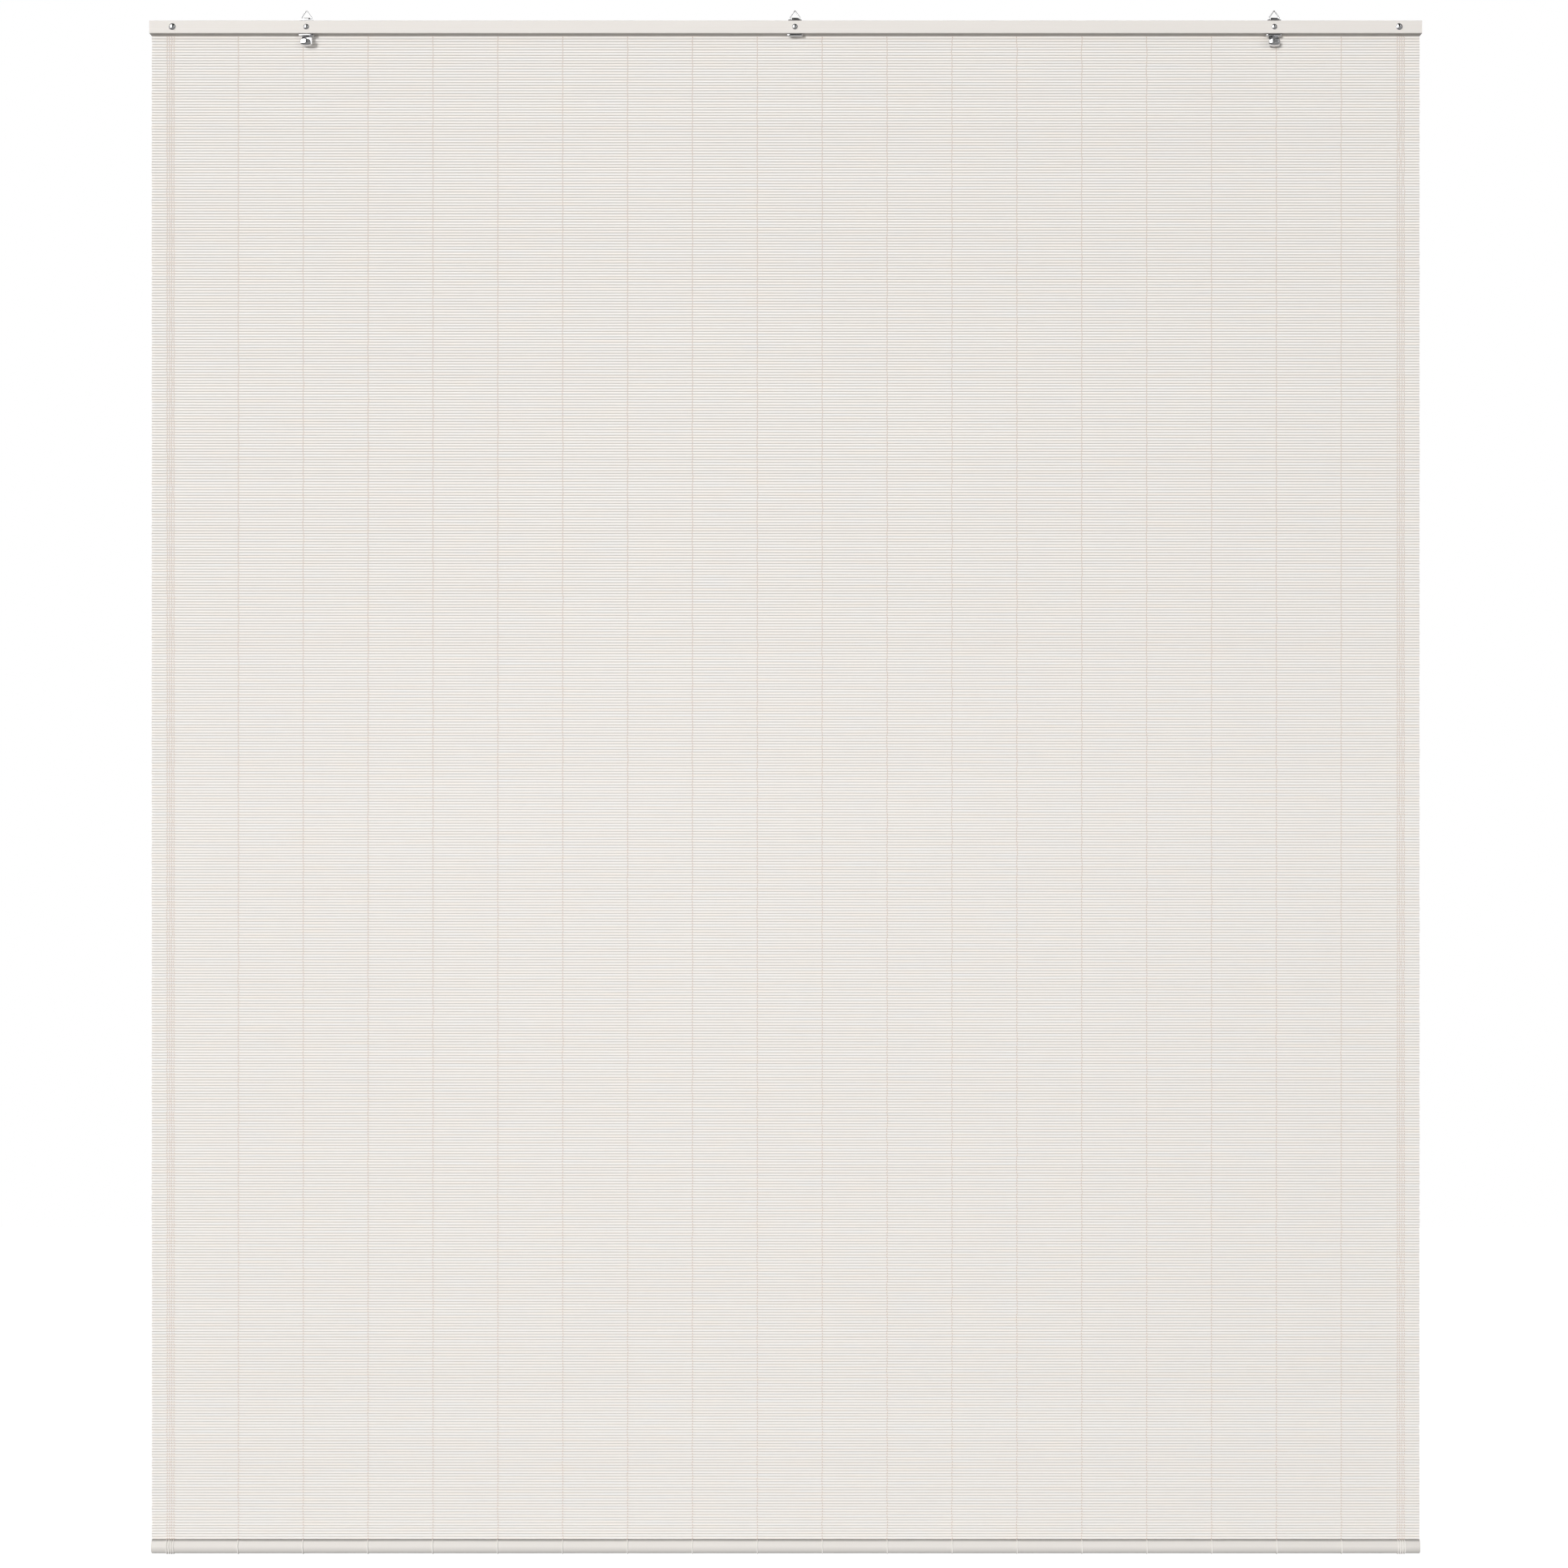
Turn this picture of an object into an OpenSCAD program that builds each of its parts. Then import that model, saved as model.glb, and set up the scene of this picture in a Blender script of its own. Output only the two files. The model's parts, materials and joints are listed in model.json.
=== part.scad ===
// Bamboo roll-up blind: a mat of split slats woven on warp strings, gripped at the top between
// two battens, weighted at the bottom by an oval rod and hung by three rings in sheet-metal clips.
// Millimetres, +Z up, the front faces -Y. The origin is the middle of the hanging line: the height
// at which the three rings seat on their hooks, halfway along the blind.

/* [Mat] */
// Width of the mat, the battens and the rod
mat_w = 1800; // [900:10:2200]
// Spacing of the slats down the mat
slat_pitch = 3.88; // [3:0.02:6]
// Slats that show between the headrail and the rod
slats_shown = 550; // [200:1:560]
// Slats gripped inside the headrail
slats_gripped = 4; // [3:1:4]
// Thickness of a slat
slat_t = 2; // [1.4:0.1:3]
// Depth of the groove between two slats, on each face
groove_d = 0.6; // [0.3:0.05:0.65]
// Width of the rounded-off shoulder beside a groove
shoulder_w = 0.7; // [0.3:0.05:1]
// Slats that are joined into one band of the mat
band_slats = 25; // [10:1:50]
// Gap between two bands of slats
slat_gap = 0.1; // [0.05:0.05:0.3]

/* [Warp strings] */
// Thickness of a string on the face of the mat
string_t = 0.6; // [0.4:0.1:1]
// Width of a string
string_w = 1.2; // [0.8:0.1:2]
// Left edge of the mat to the first single string
warp_first = 123; // [80:1:200]
// Spacing of the single strings
warp_pitch = 92.1; // [60:0.1:150]
// Least distance from the last single string to the right edge
warp_last_min = 80; // [60:1:90]
// Strings in the binding at each edge
edge_strings = 4; // [2:1:4]
// Edge of the mat to the first string of the binding
edge_first = 22; // [10:0.5:40]
// Spacing of the strings in the binding
edge_pitch = 3.2; // [2.5:0.1:5]
// How far a string runs up into the headrail
string_grip = 6; // [3:0.5:6.5]

/* [Headrail] */
// Height of both battens
rail_h = 18; // [17:0.5:30]
// Depth of the front batten
front_d = 12; // [10:0.5:20]
// Depth of the back batten
back_d = 8; // [7:0.5:15]
// Eased edge of the battens
rail_edge_r = 0.8; // [0.3:0.1:2]

/* [Bottom rod] */
// Height of the oval section
rod_h = 20; // [16:0.5:30]
// Depth of the oval section
rod_d = 13; // [12:0.5:15.5]
// Radius of the top and bottom of the oval
rod_end_r = 5.5; // [4:0.1:5.8]

/* [Hanger clips] */
// Left end of the rail to the middle of the left clip
clip_inset_left = 222; // [100:1:300]
// Right end of the rail to the middle of the right clip
clip_inset_right = 209; // [100:1:300]
// Middle of the rail to the middle of the centre clip
clip_centre_off = 13; // [-40:1:40]
// Width of a clip
clip_w = 21; // [19:0.5:30]
// Sheet thickness of a clip
clip_t = 1.1; // [0.8:0.1:1.5]
// Radius of a clip's front corners
clip_corner_r = 2; // [0.5:0.1:3]
// Room between the curled tongue and the ring's bends, on each side
curl_side_fit = 0.15; // [0.1:0.05:1]
// Slit on each side of the curled tongue
curl_slit = 0.6; // [0.4:0.1:1]
// Looseness of the ring in its curl, on the radius
ring_play = 0.3; // [0.1:0.05:0.4]
// Inside radius of the bead rolled along a clip's lower front edge
bead_ri = 1; // [0.6:0.1:1.5]
// Open part of a curl or bead, in degrees
curl_gap = 45; // [30:1:60]
// Room round a clip in its recess in the batten, on each side
clip_fit = 0.1; // [0.05:0.05:0.5]

/* [Hang rings] */
// Wire diameter
wire_dia = 1.6; // [1.2:0.1:1.8]
// Base of the triangle, between the wire's corner points
ring_base = 17.6; // [15:0.1:20]
// Height of the triangle, between the wire's corner points
ring_rise = 12.3; // [11:0.1:16]
// Bend radius of the wire at the top
ring_top_r = 1.2; // [1:0.1:2.5]
// Bend radius of the wire at the two base corners
ring_corner_r = 1.7; // [1.2:0.05:2]
// How much the wire's radius swells where it is bent
bend_swell = 0.02; // [0.01:0.01:0.05]

/* [Roll hooks] */
// Width of a hook's strip
hook_w = 14; // [10:0.5:16]
// Sheet thickness of a hook
hook_t = 1.2; // [0.8:0.1:1.5]
// Inside radius of the hook's bend
hook_bend_r = 3.4; // [2.8:0.1:5]
// Lowest point of a hook below the headrail
hook_drop = 17.8; // [16:0.2:25]
// Straight height of the front lip above the bend
hook_lip = 5; // [2:0.2:6]
// Corner radius of the lip
hook_corner_r = 3.5; // [1:0.1:4]
// How far a hook's foot runs back under its clip
hook_foot = 5; // [3:0.5:5.5]

/* [Nails] */
// Shank diameter of every nail
nail_dia = 2.2; // [1.8:0.1:3]
// Room round a shank in its hole, on the radius
nail_fit = 0.05; // [0.02:0.01:0.15]
// How far a nail is driven into the back batten
nail_bite = 5; // [3:0.5:6]
// Length of a nail's point
nail_point = 2; // [1:0.2:3]
// Head diameter of the nails through the clips
clip_nail_head = 8; // [6:0.2:12]
// Head diameter of the nails at the rail's ends
end_nail_head = 9.6; // [7:0.2:12]
// Height of a domed head as a share of its diameter
dome_share = 0.3; // [0.15:0.01:0.4]
// Rail end to the middle of an end nail
end_nail_inset = 32.5; // [20:0.5:60]

/* [Hidden] */
$fn = 64;

// Heights, counted down from the hanging line where the rings seat, and the ring's straight base
wire_r = wire_dia / 2;
curl_ri = wire_r + ring_play;
curl_ro = curl_ri + clip_t;
leg_slope = atan2(ring_rise, ring_base / 2);
ring_top_z = ring_rise - ring_top_r / cos(leg_slope);
ring_seat = ring_top_z + ring_top_r - wire_r;
ring_z = -ring_seat;
ring_corner_run = ring_corner_r / tan(leg_slope / 2);
ring_corner_x = ring_base / 2 - ring_corner_run;
curl_w = 2 * (ring_corner_x - curl_side_fit);
rail_top = ring_z - curl_ro;
rail_bottom = rail_top - rail_h;
rail_mid = (rail_top + rail_bottom) / 2;
mat_bottom = rail_bottom - slats_shown * slat_pitch;
rod_mid = mat_bottom - rod_h / 2;

// Depths, counted back from the plane of the rings
rail_front = -curl_ro;
batten_back = rail_front + front_d;
plate_front = batten_back - clip_t;
mat_front = batten_back + string_t;
mat_mid = mat_front + slat_t / 2;
mat_back = mat_front + slat_t;
back_front = mat_back + string_t;
rail_back = back_front + back_d;

// The oval of the rod: two wide arcs that run smoothly into two end arcs
rod_a = rod_h / 2;
rod_b = rod_d / 2;
rod_end_c = rod_a - rod_end_r;
rod_wide_r = (pow(rod_b, 2) + pow(rod_end_c, 2) - pow(rod_end_r, 2)) / (2 * (rod_b - rod_end_r));
rod_wide_c = rod_wide_r - rod_b;
rod_turn = atan2(rod_end_c, rod_wide_c);
rod_turn_z = rod_wide_r * sin(rod_turn);
loop_sides = 20;

// A clip's bead hangs below its lower flange, and a hook's neck lies against the back of the bead
bead_ro = bead_ri + clip_t;
bead_y = rail_front + bead_ro;
bead_z = rail_bottom - bead_ro;
neck_front = bead_y + bead_ro;
hook_ro = hook_bend_r + hook_t;
hook_y = neck_front + hook_t - hook_ro;
hook_z = rail_bottom - hook_drop + hook_ro;
lip_front = hook_y - hook_ro;
lip_top = hook_z + hook_lip;

// Places along the rail
clip_left_x = clip_inset_left - mat_w / 2;
clip_centre_x = clip_centre_off;
clip_right_x = mat_w / 2 - clip_inset_right;
clip_nail_x = [clip_left_x, clip_centre_x, clip_right_x];
end_nail_x = [for (side = [-1, 1]) side * (mat_w / 2 - end_nail_inset)];
nail_x = concat(end_nail_x, clip_nail_x);
nail_r = nail_dia / 2;
hole_r = nail_r + nail_fit;
eight_sided = 8;

// Places of the strings: a binding at each edge and evenly spaced singles between
single_count = floor((mat_w - warp_first - warp_last_min) / warp_pitch) + 1;
binding = [for (i = [0:edge_strings - 1]) edge_first + i * edge_pitch];
string_x = concat(
    [for (e = binding) e - mat_w / 2],
    [for (i = [0:single_count - 1]) warp_first + i * warp_pitch - mat_w / 2],
    [for (i = [edge_strings - 1:-1:0]) mat_w / 2 - binding[i]]);
string_names = [for (i = [0:len(string_x) - 1]) str("warp_string_", i < 9 ? "0" : "", i + 1)];

white_paint = "#efece6";
string_beige = "#ece2d8";
bright_metal = "#c6c9ce";
eps = 0.01;
run_lap = 0.05;

// A profile drawn in depth and height, drawn out along the blind about x
module along_x(length, x = 0) {
    translate([x - length / 2, 0, 0]) rotate([90, 0, 90]) linear_extrude(length) children();
}

// A rectangle from its low corner to its high one
module block(low, high) {
    translate(low) square(high - low);
}

// A rectangle with round corners, from its low corner to its high one
module eased_block(low, high, r) {
    block([low[0] + r, low[1]], [high[0] - r, high[1]]);
    block([low[0], low[1] + r], [high[0], high[1] - r]);
    for (u = [low[0] + r, high[0] - r], v = [low[1] + r, high[1] - r]) translate([u, v]) circle(r);
}

// A round hole or rod that runs straight back from y
module bored(x, y, z, r, depth) {
    translate([x, y, z]) rotate([-90, 0, 0]) cylinder(h = depth, r = r);
}

module headrail_front() {
    color(white_paint) difference() {
        along_x(mat_w) eased_block([rail_front, rail_bottom], [batten_back, rail_top], rail_edge_r);
        for (x = clip_nail_x) along_x(clip_w + 2 * clip_fit, x)
            block([plate_front, rail_bottom - eps], [batten_back + eps, rail_top + eps]);
        for (x = nail_x) bored(x, rail_front - eps, rail_mid, hole_r, front_d + 2 * eps);
    }
}

module headrail_back() {
    color(white_paint) difference() {
        along_x(mat_w) eased_block([back_front, rail_bottom], [rail_back, rail_top], rail_edge_r);
        for (x = nail_x) bored(x, back_front - eps, rail_mid, hole_r, nail_bite + nail_fit + eps);
    }
}

// A run of slats upwards from z, as one wall: flat-topped ridges with V grooves on the front,
// plain ridges on the back
module slat_wall(z, count) {
    front_edge = [for (i = [0:count - 1], p = [0:2])
        let (low = z + i * slat_pitch)
        p == 0 ? [mat_front + groove_d, low]
        : [mat_front, p == 1 ? low + shoulder_w : low + slat_pitch - shoulder_w]];
    back_edge = [for (i = [count - 1:-1:0], p = [0:1])
        let (low = z + i * slat_pitch)
        p == 0 ? [mat_back, low + slat_pitch / 2] : [mat_back - groove_d, low]];
    top = z + count * slat_pitch - slat_gap;
    along_x(mat_w) polygon(concat(
        front_edge,
        [[mat_front + groove_d, top], [mat_back - groove_d, top]],
        back_edge));
}

// The hanging slats, in bands that stand a hair apart
module slat_mat() {
    color(white_paint) for (first = [0:band_slats:slats_shown - 1])
        slat_wall(mat_bottom + first * slat_pitch, min(band_slats, slats_shown - first));
}

// The top slats, pierced by the nails
module gripped_slats() {
    color(white_paint) difference() {
        slat_wall(rail_bottom, slats_gripped);
        for (x = nail_x) translate([x, mat_front - eps, rail_mid]) rotate([-90, 0, 0])
            cylinder(h = slat_t + 2 * eps, r = hole_r / cos(180 / eight_sided), $fn = eight_sided);
    }
}

module bottom_rod() {
    color(white_paint) along_x(mat_w) translate([mat_mid, rod_mid]) {
        intersection() {
            translate([rod_wide_c, 0]) circle(rod_wide_r);
            translate([-rod_wide_c, 0]) circle(rod_wide_r);
            block([-rod_b, -rod_turn_z], [rod_b, rod_turn_z]);
        }
        for (end = [-1, 1]) translate([0, end * rod_end_c]) circle(rod_end_r);
    }
}

// Distance from the rod's middle to its flat of outward direction a, grown by a string
function rod_reach(a, grown) =
    abs(cos(a)) > cos(rod_turn) ? rod_wide_r - rod_wide_c * abs(cos(a)) + grown
    : rod_end_c * abs(sin(a)) + rod_end_r + grown;

// Where the flats of directions a and b meet
function flats_meet(a, b, grown) =
    let (ha = rod_reach(a, grown), hb = rod_reach(b, grown), s = sin(b - a))
    [(ha * sin(b) - hb * sin(a)) / s, (hb * cos(a) - ha * cos(b)) / s];

// Flats laid all round the rod, touching it or standing a string's thickness off
module rod_wrap(grown) {
    step = 360 / loop_sides;
    translate([mat_mid, rod_mid])
        polygon([for (i = [0:loop_sides - 1]) flats_meet(i * step, (i + 1) * step, grown)]);
}

// A string runs down the front of the mat, under the rod and up the back
module warp_string(x) {
    top = rail_bottom + string_grip;
    color(string_beige) along_x(string_w, x) difference() {
        union() {
            rod_wrap(string_t);
            block([mat_front - string_t, rod_mid], [mat_back + string_t, top]);
        }
        rod_wrap(0);
        block([mat_front, rod_mid], [mat_back, top + eps]);
    }
}

// The section of a sheet rolled into an eye, nearly closed, with its gap turned round by turn
module rolled_eye(at, ri, turn) {
    far = 2 * (ri + clip_t);
    translate(at) rotate(turn) difference() {
        circle(ri + clip_t);
        circle(ri);
        polygon([[0, 0], [far, 0], [far, far * tan(curl_gap)]]);
    }
}

// The section of a clip: a channel round the back of the front batten, ending in a rolled bead
module clip_section() {
    difference() {
        union() {
            block([rail_front, rail_top], [plate_front, rail_top + clip_t]);
            block([plate_front, rail_bottom], [batten_back, rail_top]);
            block([bead_y, rail_bottom - clip_t], [plate_front, rail_bottom]);
            for (z = [rail_bottom, rail_top]) translate([plate_front, z]) circle(clip_t);
        }
        block([rail_front - eps, rail_bottom], [plate_front, rail_top]);
    }
    rolled_eye([bead_y, bead_z], bead_ri, 90 - curl_gap);
}

// The plan of a clip, with rounded front corners
module clip_plan(x) {
    low = [x - clip_w / 2, rail_front];
    high = [x + clip_w / 2, batten_back];
    eased_block(low, high, clip_corner_r);
    block([low[0], (low[1] + high[1]) / 2], high);
}

// A clip wraps the front batten from behind and holds a ring in its curled tongue
module hanger_clip(x) {
    reach = rail_h + 2 * (curl_ro + 2 * bead_ro);
    color(bright_metal) difference() {
        union() {
            intersection() {
                along_x(clip_w, x) clip_section();
                translate([0, 0, rail_mid - reach / 2]) linear_extrude(reach) clip_plan(x);
            }
            along_x(curl_w, x) rolled_eye([0, ring_z], curl_ri, -90);
        }
        for (side = [-1, 1]) along_x(curl_slit, x + side * (curl_w + curl_slit) / 2)
            block([rail_front - eps, rail_top - eps], [0, rail_top + clip_t + eps]);
        along_x(curl_w, x) difference() {
            block([rail_front - eps, rail_top - eps], [0, ring_z]);
            translate([0, ring_z]) circle(curl_ro);
        }
        bored(x, plate_front - eps, rail_mid, hole_r, clip_t + 2 * eps);
    }
}

// A straight run of wire in the plane of the ring, lapped a little into the bends at its ends
module wire_run(from, to) {
    run = to - from;
    translate([from[0], 0, from[1]]) rotate([0, atan2(run[0], run[1]), 0])
        translate([0, 0, -run_lap]) cylinder(h = norm(run) + 2 * run_lap, r = wire_r);
}

// A bend of wire in the plane of the ring
module wire_bend(at, r, start, sweep) {
    translate([at[0], 0, at[1]]) rotate([90, 0, 0]) rotate([0, 0, start])
        rotate_extrude(angle = sweep) translate([r, 0]) circle(wire_r + bend_swell);
}

// A triangle of wire, standing on its base in the clip's curl
module hang_ring(x) {
    top_at = [0, ring_top_z];
    out = [sin(leg_slope), cos(leg_slope)];
    color(bright_metal) translate([x, 0, ring_z]) {
        wire_run([-ring_corner_x, 0], [ring_corner_x, 0]);
        for (side = [-1, 1]) {
            corner_at = [side * ring_corner_x, ring_corner_r];
            outward = [side * out[0], out[1]];
            wire_run(corner_at + ring_corner_r * outward, top_at + ring_top_r * outward);
            wire_bend(corner_at, ring_corner_r, side > 0 ? -90 : 90 + leg_slope, 180 - leg_slope);
        }
        wire_bend(top_at, ring_top_r, 90 - leg_slope, 2 * leg_slope);
    }
}

// A hook's foot is welded under its clip, its neck drops behind the bead, and it turns forward
// and up into a lip with rounded corners
module roll_hook(x) {
    foot_top = rail_bottom - clip_t;
    inset = hook_w / 2 - hook_corner_r;
    color(bright_metal) difference() {
        along_x(hook_w, x) {
            block([neck_front, foot_top - hook_t], [neck_front + hook_foot, foot_top]);
            block([neck_front, hook_z], [neck_front + hook_t, foot_top]);
            block([lip_front, hook_z], [lip_front + hook_t, lip_top]);
            difference() {
                translate([hook_y, hook_z]) circle(hook_ro);
                translate([hook_y, hook_z]) circle(hook_bend_r);
                block([lip_front - eps, hook_z], [neck_front + hook_t + eps, hook_z + 2 * hook_ro]);
            }
        }
        for (side = [-1, 1]) translate([x + side * inset, lip_front + hook_t + eps, lip_top - hook_corner_r])
            rotate([90, 0, 0]) linear_extrude(hook_t + 2 * eps) scale([side, 1]) difference() {
                square(2 * hook_corner_r);
                circle(hook_corner_r);
            }
    }
}

// A domed nail driven from the front through the whole headrail
module dome_nail(x, head_dia) {
    head_r = head_dia / 2;
    dome = head_dia * dome_share;
    ball_r = (pow(head_r, 2) + pow(dome, 2)) / (2 * dome);
    tip = back_front - rail_front + nail_bite;
    translate([x, rail_front, rail_mid]) rotate([-90, 0, 0]) {
        rotate_extrude() intersection() {
            translate([0, ball_r - dome]) circle(ball_r);
            block([0, -dome], [head_r, 0]);
        }
        rotate_extrude() polygon([[0, 0], [nail_r, 0], [nail_r, tip - nail_point], [0, tip]]);
    }
}

module clip_nails() {
    color(bright_metal) for (x = clip_nail_x) dome_nail(x, clip_nail_head);
}

module end_nails() {
    color(bright_metal) for (x = end_nail_x) dome_nail(x, end_nail_head);
}

headrail_front();
headrail_back();
slat_mat();
gripped_slats();
bottom_rod();
hanger_clip(clip_left_x);  // hanger_clip_left
hanger_clip(clip_centre_x);  // hanger_clip_centre
hanger_clip(clip_right_x);  // hanger_clip_right
hang_ring(clip_left_x);  // hang_ring_left
hang_ring(clip_centre_x);  // hang_ring_centre
hang_ring(clip_right_x);  // hang_ring_right
roll_hook(clip_left_x);  // roll_hook_left
roll_hook(clip_right_x);  // roll_hook_right
clip_nails();
end_nails();
for (i = [0:len(string_names) - 1])
    warp_string(string_x[i]);
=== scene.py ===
# %% [markdown]
# # A white bamboo roll-up blind
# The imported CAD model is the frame: it fixes where each piece is and how large it is.
# This lesson dresses that frame, piece by piece, in the order in which the blind is made:
# slats, strings, battens, rod, and then the bright metal that it hangs from.
# Everything is in metres, +Z is up, and the front of the blind faces -Y.

# %% Load the frame
import json
import math

import bmesh
import bpy
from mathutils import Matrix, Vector


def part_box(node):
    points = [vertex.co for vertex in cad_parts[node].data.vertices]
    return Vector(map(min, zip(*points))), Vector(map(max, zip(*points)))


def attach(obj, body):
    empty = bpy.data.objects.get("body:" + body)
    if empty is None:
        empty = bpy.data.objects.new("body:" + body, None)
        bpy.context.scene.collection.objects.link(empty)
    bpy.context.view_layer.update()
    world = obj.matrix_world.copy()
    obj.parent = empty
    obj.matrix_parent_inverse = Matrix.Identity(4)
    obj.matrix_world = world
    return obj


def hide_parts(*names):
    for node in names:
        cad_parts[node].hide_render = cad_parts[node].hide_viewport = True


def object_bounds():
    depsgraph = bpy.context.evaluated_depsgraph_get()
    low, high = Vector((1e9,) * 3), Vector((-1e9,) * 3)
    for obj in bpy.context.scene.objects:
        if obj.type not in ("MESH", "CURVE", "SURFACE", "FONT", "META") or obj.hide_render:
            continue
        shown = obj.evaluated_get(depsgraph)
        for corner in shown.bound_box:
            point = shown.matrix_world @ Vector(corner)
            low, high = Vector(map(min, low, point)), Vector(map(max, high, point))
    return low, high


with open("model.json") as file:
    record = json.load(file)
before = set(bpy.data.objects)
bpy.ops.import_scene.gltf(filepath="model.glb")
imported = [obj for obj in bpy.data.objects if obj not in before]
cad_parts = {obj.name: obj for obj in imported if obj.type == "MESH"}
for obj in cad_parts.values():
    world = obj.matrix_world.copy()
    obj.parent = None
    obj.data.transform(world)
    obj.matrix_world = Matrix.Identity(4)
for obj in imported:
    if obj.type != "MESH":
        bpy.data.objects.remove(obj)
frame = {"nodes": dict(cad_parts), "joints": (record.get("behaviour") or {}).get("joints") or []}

MM = 0.001
CAD_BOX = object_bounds()
SIDES = ("left", "centre", "right")

# %% [markdown]
# ## Sizes that several pieces share
# Most sizes are read from the boxes of the CAD nodes, so that a changed model still fits.
# A few can't be read from a box, such as the spacing of the slats, and are written here once.

# %% Sizes from the frame
MAT_LOW, MAT_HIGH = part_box("slat_mat")
RAIL_LOW, RAIL_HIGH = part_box("headrail_front")
ROD_LOW, ROD_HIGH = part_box("bottom_rod")
MAT_MID_Y = (MAT_LOW.y + MAT_HIGH.y) / 2
RAIL_MID_Z = (RAIL_LOW.z + RAIL_HIGH.z) / 2
CLIP_X = {side: sum(corner.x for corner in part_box(f"hanger_clip_{side}")) / 2 for side in SIDES}
SLAT_PITCH = 3.88 * MM
SLAT_COUNT = round((MAT_HIGH.z - MAT_LOW.z) / SLAT_PITCH)
STRING_NAMES = sorted(name for name in frame["nodes"] if name.startswith("warp_string_"))
print("slats", SLAT_COUNT, "strings", len(STRING_NAMES), "clips at", CLIP_X)

# %% [markdown]
# ## The camera
# The photograph looks straight at the blind from about three metres, level with its middle.
# A 50 mm lens on a 36 mm sensor gives the same small perspective: the rail, which stands
# nearer than the mat, looks a few millimetres wider than the mat.

# %% Camera
VIEW_DISTANCE = 3.092
VIEW_X = -2.4 * MM
VIEW_Z = -1.0926
LENS, SENSOR = 50, 36


def make_camera():
    camera = bpy.data.objects.new("photo_camera", bpy.data.cameras.new("photo_camera"))
    camera.data.sensor_width = SENSOR
    camera.data.lens = LENS
    camera.location = (VIEW_X, MAT_LOW.y - VIEW_DISTANCE, VIEW_Z)
    camera.rotation_euler = (math.radians(90), 0, 0)
    bpy.context.scene.collection.objects.link(camera)
    return camera


bpy.context.scene.camera = make_camera()
bpy.context.scene.view_settings.view_transform = "Standard"
print("camera at", tuple(round(v, 4) for v in bpy.context.scene.camera.location))

# %% [markdown]
# ## A short way to write nodes
# Materials and Geometry Nodes are both node trees. The first helper adds one node, sets its options,
# and fills its inputs: a plain value is set on the socket, another node's socket is linked. The
# others write the steps that come up most: a sum, a ramp from one level to another, a mix of two
# levels, and a vector taken apart or put together.

# %% Node helpers
def add(tree, kind, inputs=None, **options):
    node = tree.nodes.new(kind)
    for name, value in options.items():
        setattr(node, name, value)
    for key, value in (inputs or {}).items():
        if isinstance(value, bpy.types.NodeSocket):
            tree.links.new(value, node.inputs[key])
        else:
            node.inputs[key].default_value = value
    return node


def math_node(tree, operation, first, second=0.0):
    return add(tree, "ShaderNodeMath", {0: first, 1: second}, operation=operation).outputs[0]


def ramp(tree, value, start, end, low=0.0, high=1.0):
    reach = {"Value": value, "From Min": start, "From Max": end, "To Min": low, "To Max": high}
    return add(tree, "ShaderNodeMapRange", reach).outputs[0]


def mixed(tree, share, first, second):
    return add(tree, "ShaderNodeMix", {0: share, 2: first, 3: second}).outputs[0]


def axes(tree, vector):
    return add(tree, "ShaderNodeSeparateXYZ", {0: vector}).outputs


def from_axes(tree, **lengths):
    return add(tree, "ShaderNodeCombineXYZ", lengths).outputs[0]


# %% [markdown]
# ## Light and background
# Two wide lamps stand far to the left and right of the camera, a little lower than the rail, so the
# rail throws hardly any shadow on the mat, and the slats are lit evenly from top to bottom. A lamp's
# share is the part of full white that it gives to a surface that faces the camera. The rest is soft
# fill, more from the ceiling than from below. All shares add up to about one, so a colour renders
# about as it is written. A weak upright strip of light close by, a little left of the middle, makes
# the middle a trace brighter than the two ends. The back gets no lamp, but a stronger fill: a lamp
# there would take light samples away from the front, and leave grain in the fine lines of the slats.

# %% Lamps
FILL_ABOVE = 0.30
FILL_BELOW = 0.14
FILL_BEHIND = 1.15
LAMP_WIDTH = 15
STRIP_WIDTH, STRIP_HEIGHT = 0.6, 3.2


def far_lamp(name, turn, rise, share):
    lamp = bpy.data.objects.new(name, bpy.data.lights.new(name, "SUN"))
    turn, rise = math.radians(turn), math.radians(rise)
    towards = Vector((math.sin(turn) * math.cos(rise), -math.cos(turn) * math.cos(rise), math.sin(rise)))
    lamp.data.angle = math.radians(LAMP_WIDTH)
    lamp.data.energy = share * math.pi / abs(towards.y)
    lamp.rotation_euler = towards.to_track_quat("Z", "Y").to_euler()
    lamp.visible_glossy = False
    bpy.context.scene.collection.objects.link(lamp)


def near_lamp(name, place, watts):
    lamp = bpy.data.objects.new(name, bpy.data.lights.new(name, "AREA"))
    lamp.data.shape = "RECTANGLE"
    lamp.data.size, lamp.data.size_y = STRIP_WIDTH, STRIP_HEIGHT
    lamp.data.energy = watts
    lamp.location = place
    lamp.rotation_euler = (math.radians(90), 0, 0)
    lamp.visible_glossy = lamp.visible_camera = False
    bpy.context.scene.collection.objects.link(lamp)


far_lamp("left_lamp", -23, -3, 0.595)
far_lamp("right_lamp", 30, -6, 0.15)
near_lamp("near_lamp", Vector((-0.45, -2.6, -1.5)), 10.2)

# %% [markdown]
# Bright metal shows the room and not the lamps themselves, so the room is drawn in the world, for
# glossy rays: dark overhead, paler towards the floor, white behind the blind, and with the wide
# front of a soft box on the left, a narrower one on the right and a pale wall below that one. Each
# panel is a range of turns and rises in degrees, blurred at its edges. The other ranges are parts of
# the way that a ray goes: +Z is up, and +Y is behind the blind. The camera sees plain white.

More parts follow.
